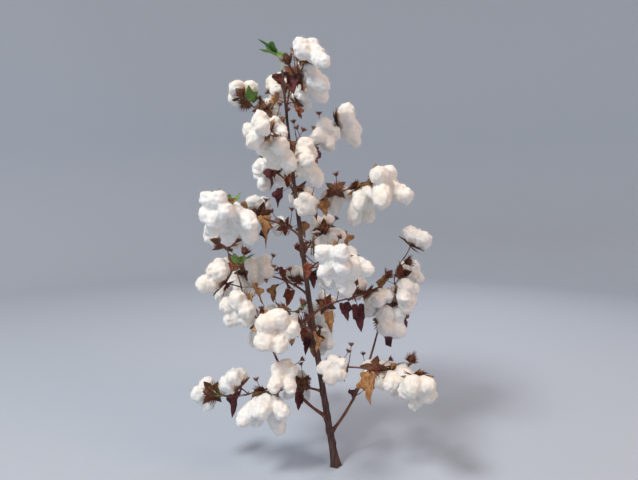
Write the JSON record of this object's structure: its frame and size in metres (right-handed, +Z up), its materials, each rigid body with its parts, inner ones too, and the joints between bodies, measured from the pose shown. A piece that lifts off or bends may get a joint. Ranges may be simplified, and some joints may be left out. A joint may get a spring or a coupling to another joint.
{
  "type": "crop plant",
  "caption": "Cotton plant at harvest: a leaning woody stem with side stems and fruiting branches that carry open white bolls in dry burrs, with few leaves left.",
  "frame": {"origin": "centre of the main stem's flat cut at ground level", "axes": "+Z up along the plant's height; the stem leans towards -X as it rises"},
  "size_m": [0.6566, 0.5841, 1.114],
  "materials": {
    "stem_bark": "dry bark, dark purple brown",
    "branch_bark": "dry bark, reddish brown",
    "cotton_lint": "soft white fibre",
    "green_leaf": "soft matt leaf"
  },
  "bodies": {
    "root": {"main_stem": "stem_bark", "side_stem_1": "branch_bark", "side_stem_2": "branch_bark", "branch_01": "branch_bark", "branch_02": "branch_bark", "branch_03": "branch_bark", "branch_04": "branch_bark", "branch_05": "branch_bark", "branch_06": "branch_bark", "branch_07": "branch_bark", "branch_08": "branch_bark", "branch_09": "branch_bark", "branch_10": "branch_bark", "branch_11": "branch_bark", "branch_12": "branch_bark", "branch_13": "branch_bark", "branch_14": "branch_bark", "branch_15": "branch_bark", "branch_16": "branch_bark", "side_spray_1": "cotton_lint", "side_spray_2": "cotton_lint", "boll_spray_01": "cotton_lint", "boll_spray_02": "cotton_lint", "boll_spray_03": "cotton_lint", "boll_spray_04": "cotton_lint", "boll_spray_05": "cotton_lint", "boll_spray_06": "cotton_lint", "boll_spray_07": "cotton_lint", "boll_spray_08": "cotton_lint", "boll_spray_09": "cotton_lint", "boll_spray_10": "cotton_lint", "boll_spray_11": "cotton_lint", "boll_spray_12": "cotton_lint", "boll_spray_13": "cotton_lint", "boll_spray_14": "cotton_lint", "boll_spray_15": "cotton_lint", "boll_spray_16": "cotton_lint", "top_shoot": "green_leaf"}
  },
  "joints": []
}
